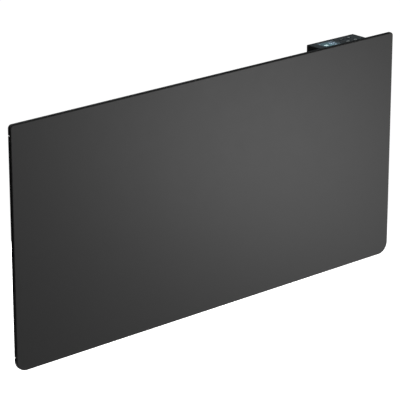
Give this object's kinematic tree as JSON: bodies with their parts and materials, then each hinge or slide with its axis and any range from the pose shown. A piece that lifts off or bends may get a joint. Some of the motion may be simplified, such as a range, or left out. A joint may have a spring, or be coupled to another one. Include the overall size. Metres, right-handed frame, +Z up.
{
  "type": "infrared panel heater",
  "caption": "Flat wall-hung infrared panel heater: folded steel front, rear casing, control unit with display and push keys at the top, mains switch, hook-on wall bracket.",
  "frame": {"origin": "centre of the wall bracket's four screw slots, on the wall", "axes": "+X right as seen from the front, +Y from the front to the wall, +Z up"},
  "size_m": [0.812, 0.0587, 0.4],
  "materials": {
    "panel_coating": "satin anthracite powder coat",
    "casing_coating": "matt anthracite powder coat",
    "mica": "pressed mica sheet",
    "track_foil": "etched resistance foil",
    "tinned_brass": "tinned",
    "reflector_foil": "bright foil",
    "insulation": "mineral fibre board",
    "zinc_steel": "zinc plated",
    "black_steel": "blackened",
    "bracket_steel": "matt anthracite powder coat",
    "housing_plastic": "fine moulded grain",
    "bezel_gloss": "polished",
    "display_glass": "tinted, glossy",
    "lcd": "lit liquid-crystal screen",
    "circuit_board": "solder mask",
    "component_black": "moulded",
    "component_yellow": "taped winding",
    "component_blue": "sleeved can",
    "terminal_grey": "moulded",
    "sensor_epoxy": "epoxy bead",
    "key_gloss": "polished",
    "switch_plastic": "satin",
    "gland_nylon": "moulded nylon",
    "rubber": "matt",
    "cutout_case": "phenolic with steel cap",
    "lead_brown": "silicone sleeve",
    "lead_blue": "silicone sleeve"
  },
  "bodies": {
    "wall_bracket": {"bracket_rail_top": "bracket_steel", "bracket_rail_bottom": "bracket_steel", "bracket_upright_left": "bracket_steel", "bracket_upright_right": "bracket_steel", "bracket_pads": "rubber"},
    "heater": {"front_panel": "panel_coating", "rear_casing": "casing_coating", "film_carrier": "mica", "film_cover": "mica", "heating_track": "track_foil", "film_terminals": "tinned_brass", "reflector": "reflector_foil", "insulation_board": "insulation", "clamp_bars": "zinc_steel", "clamp_nuts": "zinc_steel", "rim_nuts": "zinc_steel", "control_nuts": "zinc_steel", "hook_plates": "zinc_steel", "cover_screws": "black_steel", "control_housing": "housing_plastic", "control_cover": "housing_plastic", "display_bezel": "bezel_gloss", "display_lens": "display_glass", "lcd_module": "lcd", "display_board": "circuit_board", "tact_switches": "component_black", "power_board": "circuit_board", "relay": "component_black", "transformer": "component_yellow", "capacitor": "component_blue", "terminal_block": "terminal_grey", "room_sensor": "sensor_epoxy", "switch_body": "switch_plastic", "gland_body": "gland_nylon", "gland_nut": "gland_nylon", "gland_locknut": "gland_nylon", "gland_seal": "rubber", "thermal_cutout": "cutout_case", "lead_live": "lead_brown", "lead_element": "lead_brown", "lead_neutral": "lead_blue", "lead_grommets": "rubber"},
    "key_menu": {"key_menu": "key_gloss"},
    "key_power": {"key_power": "key_gloss"},
    "key_minus": {"key_minus": "key_gloss"},
    "key_plus": {"key_plus": "key_gloss"},
    "rocker": {"switch_rocker": "switch_plastic"}
  },
  "joints": [
    {"name": "lift_off", "type": "slide", "parent": "wall_bracket", "child": "heater", "axis": [0, 0, 1], "range_m": [0, 0.01]},
    {"name": "press_menu", "type": "slide", "parent": "heater", "child": "key_menu", "axis": [0, 0, -1], "range_m": [0, 0.0008], "stiffness_N_per_m": 400, "springref_m": -0.003},
    {"name": "press_power", "type": "slide", "parent": "heater", "child": "key_power", "axis": [0, 0, -1], "range_m": [0, 0.0008], "stiffness_N_per_m": 400, "springref_m": -0.003},
    {"name": "press_minus", "type": "slide", "parent": "heater", "child": "key_minus", "axis": [0, 0, -1], "range_m": [0, 0.0008], "stiffness_N_per_m": 400, "springref_m": -0.003},
    {"name": "press_plus", "type": "slide", "parent": "heater", "child": "key_plus", "axis": [0, 0, -1], "range_m": [0, 0.0008], "stiffness_N_per_m": 400, "springref_m": -0.003},
    {"name": "mains_rocker", "type": "hinge", "parent": "heater", "child": "rocker", "pos_m": [0.3485, -0.0371, 0.1682], "axis": [0, 0, -1], "range_deg": [0, 16]}
  ]
}
